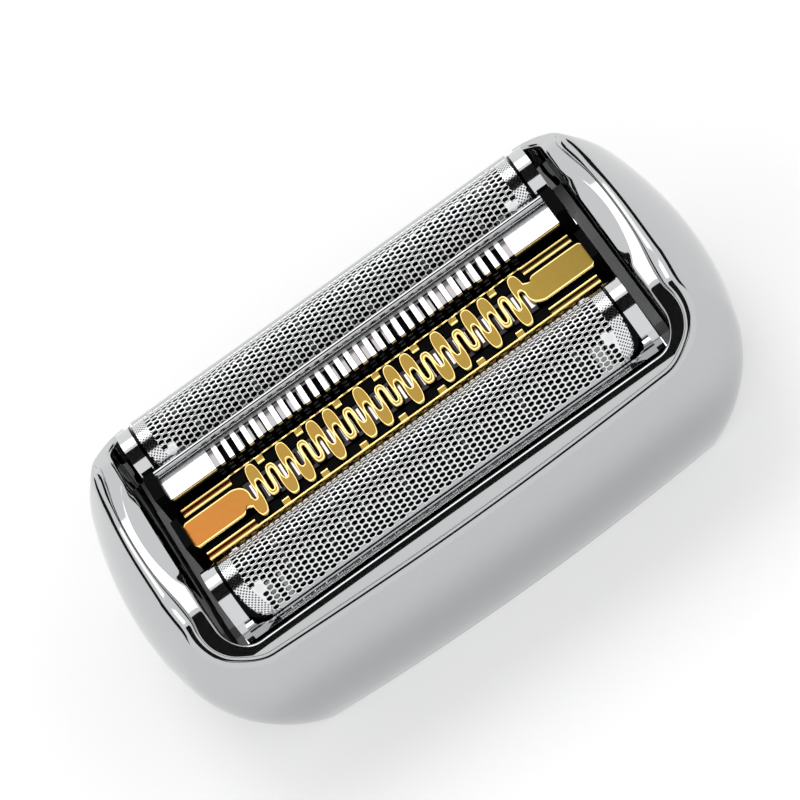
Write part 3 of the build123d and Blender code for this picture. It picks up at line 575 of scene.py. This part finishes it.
def foil_cells():
    """Perforated sheet, flat: staggered six-sided cells, each a ring round its hole, along X and the arch.

    A hole is between a six-sided and an oval one. Cells at the ends, along the lower edges and at the pins
    have no hole; points past the outline are drawn back to it.
    """
    column, row = np.meshgrid(CELL_COLUMNS, CELL_ROWS, indexing="ij")
    x = (column * CELL_ACROSS).ravel()
    run = ((row + 0.5 * (column % 2)) * CELL_ALONG).ravel()
    keep = (np.abs(run) < FOIL_REACH + BORDER_RUN) & (np.abs(x) < foil_end(run) + BORDER_X)
    x, run = x[keep], run[keep]
    holed = (np.abs(run) < HOLE_REACH) & (np.abs(x) < foil_end(run) - PLAIN_END)
    holed &= np.hypot(np.abs(x) - PIN_X, np.abs(run) - PIN_RUN) > PIN_CLEAR
    half, quarter, rise = CELL_HALF, CELL_QUARTER, CELL_RISE
    hexagon = np.array(
        [[half, 0], [quarter, rise], [-quarter, rise], [-half, 0], [-quarter, -rise], [quarter, -rise]]
    )
    edge = np.stack([hexagon, (hexagon + np.roll(hexagon, -1, 0)) / 2], 1).reshape(-1, 2)
    turn = np.arctan2(edge[:, 1] / rise, edge[:, 0] / half)
    oval = np.stack([np.cos(turn) * half, np.sin(turn) * rise], -1) * OVAL_SIZE
    hole = ((1 - OVAL_SHARE) * edge + OVAL_SHARE * oval) * HOLE_SIZE
    centres = np.stack([x, run], -1)
    outer = centres[:, None] + edge
    inner = centres[holed][:, None] + hole
    flat = np.concatenate([outer.reshape(-1, 2), inner.reshape(-1, 2)])
    flat[:, 1] = np.clip(flat[:, 1], -FOIL_REACH, FOIL_REACH)
    end = foil_end(flat[:, 1])
    flat[:, 0] = np.clip(flat[:, 0], -end, end)
    # Rings round the holes, whole cells elsewhere
    size = len(edge)
    cell = np.arange(len(x) * size).reshape(-1, size)
    ring_outer = cell[holed]
    ring_inner = len(x) * size + np.arange(holed.sum() * size).reshape(-1, size)
    rings = np.stack([ring_outer, np.roll(ring_outer, -1, 1), np.roll(ring_inner, -1, 1), ring_inner], -1)
    # Neighbouring cells share their points
    key = np.round(flat / WELD).astype(np.int64)
    _, kept, place = np.unique(key, axis=0, return_index=True, return_inverse=True)
    place = place.ravel()
    return flat[kept], whole_cells(place[rings.reshape(-1, 4)]) + whole_cells(place[cell[~holed]])


flat, foil_faces = foil_cells()
foil_across, foil_up = on_arch(flat[:, 1])
foil_uv = np.stack([foil_end(flat[:, 1]) - np.abs(flat[:, 0]), flat[:, 1]], -1)
for where, y in (("front", -FOIL_Y), ("rear", FOIL_Y)):
    sheet = piece(
        where + "_perforated_foil",
        np.stack([flat[:, 0], y + foil_across, FOIL_CENTRE + foil_up], -1),
        foil_faces,
        NICKEL,
        where + "_foil_unit",
        [where + "_foil"],
        uv=foil_uv,
    )
    wall = sheet.modifiers.new("sheet", "SOLIDIFY")
    wall.thickness = FOIL_SHEET * MM
    wall.offset = -1


def guard_turns():
    """Turns of the guard from left to right: place along X, reach of the outer edge and of the slot inside.

    Each group has three long lobes, and two short turns lead to the next group. The first and the last group
    have two lobes, because a tab takes the place of the third.
    """
    lobes = np.array([-LOBE_STEP, 0, LOBE_STEP, GROUP / 2 - TURN_SHIFT, GROUP / 2 + TURN_SHIFT])
    middles = (np.arange(-GROUPS, GROUPS + 2) - 0.5) * GROUP
    places = (middles[:, None] + lobes).ravel()[1:-3]
    outer = np.tile([LOBE_REACH] * 3 + [TURN_REACH] * 2, len(middles))[1:-3]
    slot = np.tile([SLOT_REACH] * 3 + [TURN_SLOT] * 2, len(middles))[1:-3]
    return places, outer, slot


def guard_edges():
    """Both edges of the guard's strip: half ellipses that alternate sides, and a tab at each end."""
    places, outer, slot = guard_turns()
    ends = [places[0] - LOBE_STEP / 2], [places[-1] + LOBE_STEP / 2]
    legs = np.concatenate([ends[0], (places[1:] + places[:-1]) / 2, ends[1]])
    swing = np.where(np.arange(len(places)) % 2, 1.0, -1.0)
    angle = np.linspace(np.pi, 0, TURN_STEPS + 1)[:-1]
    middle, half = (legs[1:] + legs[:-1]) / 2, (legs[1:] - legs[:-1]) / 2

    def turn(half_width, reach, full):
        """Half ellipse with powers of sine and cosine, on the side that the turn swings to."""
        x = middle[:, None] + half_width[:, None] * np.sign(np.cos(angle)) * np.abs(np.cos(angle)) ** full
        return np.stack([x, (swing * reach)[:, None] * np.sin(angle) ** full], -1)

    wide, narrow = turn(half + LEG / 2, outer, LOBE_FULL), turn(half - LEG / 2, slot, SLOT_FULL)
    upper = np.where((swing > 0)[:, None, None], wide, narrow).reshape(-1, 2)
    lower = np.where((swing > 0)[:, None, None], narrow, wide).reshape(-1, 2)
    # Tab at the left, drawn into the first lobe past a notch; the right one is its turned copy
    top, bottom = np.array([-TAB_END, TAB_HALF_WIDTH]), np.array([-TAB_END - TAB_SKEW, -TAB_HALF_WIDTH])
    top_bend = np.array([upper[0, 0], TAB_HALF_WIDTH - TAB_SKEW])
    top_neck = rounded_corner(top, top_bend, upper[0] * [1, 0], NECK_STEPS)[:, 0]
    bottom_neck = rounded_corner(bottom, np.array([NOTCH[0] - 0.05, bottom[1]]), NOTCH, NECK_STEPS)[:, 0]
    joined = int((lower[: TURN_STEPS // 2, 1] > LOBE_START[1]).sum())
    along = np.linspace(0, 1, joined + 1)[:-1, None]
    lower[:joined] = NOTCH + (LOBE_START - NOTCH) * along
    joined = int((upper[-TURN_STEPS // 2 :, 1] < -LOBE_START[1]).sum())
    along = np.linspace(1, 0, joined + 1)[1:, None]
    upper[-joined:] = -NOTCH + (NOTCH - LOBE_START) * along
    corner = np.linspace(np.pi / 2, 0, 6)[:, None]
    round_x = -GUARD_HALF + TAB_CORNER * (1 - np.sin(corner))
    round_y = TAB_HALF_WIDTH - TAB_CORNER * (1 - np.cos(corner))
    run = np.linspace(-GUARD_HALF + TAB_CORNER, -TAB_END - TAB_SKEW, TAB_STEPS)[1:-1, None]
    top_tab = np.vstack([np.hstack([round_x, round_y]), np.hstack([run, np.full_like(run, TAB_HALF_WIDTH)])])
    upper_left = np.vstack([top_tab, top_neck[:-1]])
    lower_left = np.vstack([top_tab * [1, -1], bottom_neck[:-1]])
    upper_line = np.vstack([upper_left, upper, -lower_left[::-1]])
    lower_line = np.vstack([lower_left, lower, -upper_left[::-1]])
    return upper_line, lower_line


def guard_surface():
    """Strip of sheet: along the serpentine one way, across it with rounded edges the other way.

    Returns the points and their distance from the nearer edge.
    """
    upper, lower = guard_edges()
    across = upper - lower
    width = np.linalg.norm(across, axis=1)[:, None]
    soft = np.minimum(GUARD_ROUND, 0.2 * width) / width
    flat = np.minimum(GUARD_FLAT, 0.45 * width) / width
    left = np.hstack([np.zeros_like(width), soft * np.array([[0.0, 0.3, 1.0, 1.6]]), flat])
    places = np.hstack([left, 1 - left[:, ::-1]])
    edge = np.array([-GUARD_SHEET, -GUARD_ROUND, -GUARD_ROUND / 3, 0, 0, 0])
    heights = GUARD_TOP + np.concatenate([edge, edge[::-1]])
    plan = lower[:, None] + across[:, None] * places[..., None]
    points = np.dstack([plan[..., 0], plan[..., 1] + GUARD_Y, np.broadcast_to(heights, places.shape)])
    return points, np.minimum(places, 1 - places) * width


strip, from_edge = guard_surface()
piece(
    "gold_guard",
    strip,
    tube(*strip.shape[:2]),
    GUARD,
    "lift_unit",
    ["lift_guard"],
    uv=np.dstack([from_edge, np.zeros_like(from_edge)]),
)


def rail_surface(side):
    """One side rail: its length one way, round its folded section the other way.

    The flange is wide at the ends and at the clips, and a shallow groove runs along the wide ends.
    Returns the points and their distance from the nearer edge of the flange.
    """
    clips = GROUP * np.arange(-GROUPS, GROUPS + 1)[:, None] + CLIP_HALF * np.array([-1, 1])
    steps = np.concatenate([[-RAIL_HALF_LENGTH, -BAR_START], clips.ravel(), [BAR_START, RAIL_HALF_LENGTH]])
    x = np.repeat(steps, 2) + np.tile([-TINY, TINY], len(steps))
    at_bar = np.abs(x) > BAR_START
    at_clip = np.abs(x - GROUP * np.round(x / GROUP)) < CLIP_HALF
    at_clip &= np.abs(x) < (GROUPS + 0.5) * GROUP
    wide = np.where(at_bar, BAR_WIDTH, np.where(at_clip, CLIP_WIDTH, RAIL_WIDTH))
    # Section: up the outside, in over the flange, back under it and down the inside
    share = np.array([0, 0, 0.08, 0.3, 0.5, 0.7, 0.92, 1, 1, 0.15, 0.15])
    dip = np.array([0, 0, 0, 0.1, 1, 0.1, 0, 0, 0, 0, 0])
    under = RAIL_TOP - RAIL_FLANGE
    eased = RAIL_TOP - RAIL_EASE
    level = np.array([RAIL_BOTTOM, eased, *[RAIL_TOP] * 5, eased, under, under, RAIL_BOTTOM])
    in_from_edge = np.where(np.arange(len(share)) < 9, wide[:, None] * share, RAIL_SHEET)
    y = GUARD_Y + side * (RAIL_EDGE - in_from_edge)
    z = level - np.where(at_bar, RAIL_GROOVE, 0.0)[:, None] * dip
    reach = np.minimum(share, 1 - share) * wide[:, None] + dip * GROOVE_SHADE
    return np.dstack([np.broadcast_to(x[:, None], y.shape), y, z]), reach


rails, reaches = (np.stack(pair) for pair in zip(rail_surface(-1), rail_surface(1)))
piece(
    "gold_rails",
    rails,
    tube(*rails.shape[1:3], turn=1) + tube(*rails.shape[1:3], turn=-1, first=reaches[0].size),
    GOLD,
    "lift_unit",
    ["lift_rails"],
    uv=np.stack([reaches, np.zeros_like(reaches)], -1),
    smooth=False,
)


def spring_surface(end, y):
    """Hairpin leaf spring: along its bent line one way, round its flat section the other way.

    The line runs in along the floor, round a bend tangent to both leaves and out again, rising to the tip.
    """
    half = SPRING_SHEET / 2
    foot = np.array([SPRING_OUTER - SPRING_REACH, SPRING_FLOOR + half])
    leaf = np.array([SPRING_OUTER - half, SPRING_FLOOR + SPRING_HEIGHT - half]) - foot
    slope = np.arctan2(leaf[1], leaf[0])
    centre = foot + SPRING_BEND * np.array([1 / np.tan(slope / 2), 1])
    bend = arc_run(centre, SPRING_BEND, -np.pi / 2, slope - 1.5 * np.pi, BEND_STEPS)
    line = np.vstack([[SPRING_OUTER, foot[1]], bend, foot + leaf])
    heading = np.gradient(line, axis=0)
    heading[1], heading[-2] = heading[0], heading[-1]
    heading /= np.linalg.norm(heading, axis=1, keepdims=True)
    normal = heading[:, ::-1] * [-1, 1] * half
    sides = line[:, None] + normal[:, None] * np.array([1, 1, -1, -1])[:, None]
    across = np.broadcast_to(np.array([-1, 1, 1, -1]) * SPRING_WIDTH / 2, sides.shape[:2])
    return np.dstack([end * sides[..., 0], y + across, sides[..., 1]])


for unit, y in (("front_foil", -FOIL_Y), ("rear_foil", FOIL_Y), ("comb", COMB_Y), ("lift", GUARD_Y)):
    leaves = np.stack([spring_surface(-1, y), spring_surface(1, y)])
    spring = piece(
        unit + "_hairpin_springs",
        leaves,
        tube(*leaves.shape[1:3], turn=-1) + tube(*leaves.shape[1:3], turn=1, first=leaves[0, ..., 0].size),
        SPRING,
        "frame",
        [unit + "_springs"],
        smooth=False,
    )
    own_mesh(spring)


# Studio, in metres: a pale floor that glows a little, and black cloths that the chrome shows as dark lines
FLOOR_HALF, FLOOR_GLOW, WORLD_LIGHT = 3, 0.24, 1.12
CLOTH_HALF, CLOTH_FRONT, CLOTH_BACK, CLOTH_HEIGHT = 0.8, -0.66, 0.232, 1.2
SIDE_NEAR, SIDE_FAR, SIDE_HEIGHT = (1.15, 0.3), (0.3, 1.15), 0.46
LAMP_PLACE, LAMP_GOAL, LAMP_SIZE, LAMP_POWER = (0.0, 0.42, 0.62), (0, 0, 0.01), 0.36, 0.72


def card(name, corners, material):
    """Flat four-cornered sheet of the studio."""
    mesh = bpy.data.meshes.new(name)
    mesh.from_pydata(corners, [], [(0, 1, 2, 3)])
    mesh.materials.append(material)
    thing = bpy.data.objects.new(name, mesh)
    bpy.context.scene.collection.objects.link(thing)


FLOOR = finish("pale floor", "#F2F2F2", 0.0, 0.9)
FLOOR.node_tree.nodes["Principled BSDF"].inputs["Emission Color"].default_value = (1, 1, 1, 1)
FLOOR.node_tree.nodes["Principled BSDF"].inputs["Emission Strength"].default_value = FLOOR_GLOW
square = ((-1, -1), (1, -1), (1, 1), (-1, 1))
card("floor", [(x * FLOOR_HALF, y * FLOOR_HALF, 0) for x, y in square], FLOOR)
CLOTH = finish("black studio cloth", "#050505", 0.0, 1.0)
overhead = ((-1, CLOTH_FRONT), (-1, CLOTH_BACK), (1, CLOTH_BACK), (1, CLOTH_FRONT))
card("overhead cloth", [(x * CLOTH_HALF, y, CLOTH_HEIGHT) for x, y in overhead], CLOTH)
for name, side in (("left", -1), ("right", 1)):
    near, far = (side * SIDE_NEAR[0], SIDE_NEAR[1]), (side * SIDE_FAR[0], SIDE_FAR[1])
    card(name + " cloth", [(*near, 0), (*far, 0), (*far, SIDE_HEIGHT), (*near, SIDE_HEIGHT)], CLOTH)

world = bpy.data.worlds.new("studio")
bpy.context.scene.world = world
world.use_nodes = True
world.node_tree.nodes["Background"].inputs["Color"].default_value = (1, 1, 1, 1)
world.node_tree.nodes["Background"].inputs["Strength"].default_value = WORLD_LIGHT

lamp = bpy.data.lights.new("back softbox", "AREA")
lamp.shape = "SQUARE"
lamp.size = LAMP_SIZE
lamp.energy = LAMP_POWER
softbox = bpy.data.objects.new("back softbox", lamp)
softbox.location = LAMP_PLACE
softbox.rotation_euler = (Vector(LAMP_GOAL) - Vector(LAMP_PLACE)).to_track_quat("-Z", "Y").to_euler()
bpy.context.scene.collection.objects.link(softbox)

# Camera at the photo's angle
AZIMUTH, ELEVATION, ROLL, DISTANCE = radians(2.3), radians(48), radians(37.3), 0.46
TARGET = Vector((0.46 * MM, 0, 13.8 * MM))
camera = bpy.data.cameras.new("camera")
camera.sensor_width = 36
camera.lens = 245
camera.clip_start = 0.01
sight = Vector((sin(AZIMUTH) * cos(ELEVATION), -cos(AZIMUTH) * cos(ELEVATION), sin(ELEVATION)))
eye = TARGET + DISTANCE * sight
look = (TARGET - eye).to_track_quat("-Z", "Y").to_matrix().to_4x4()
holder = bpy.data.objects.new("camera", camera)
holder.matrix_world = Matrix.Translation(eye) @ look @ Matrix.Rotation(-ROLL, 4, "Z")
bpy.context.scene.collection.objects.link(holder)
bpy.context.scene.camera = holder
bpy.context.scene.view_settings.view_transform = "Standard"
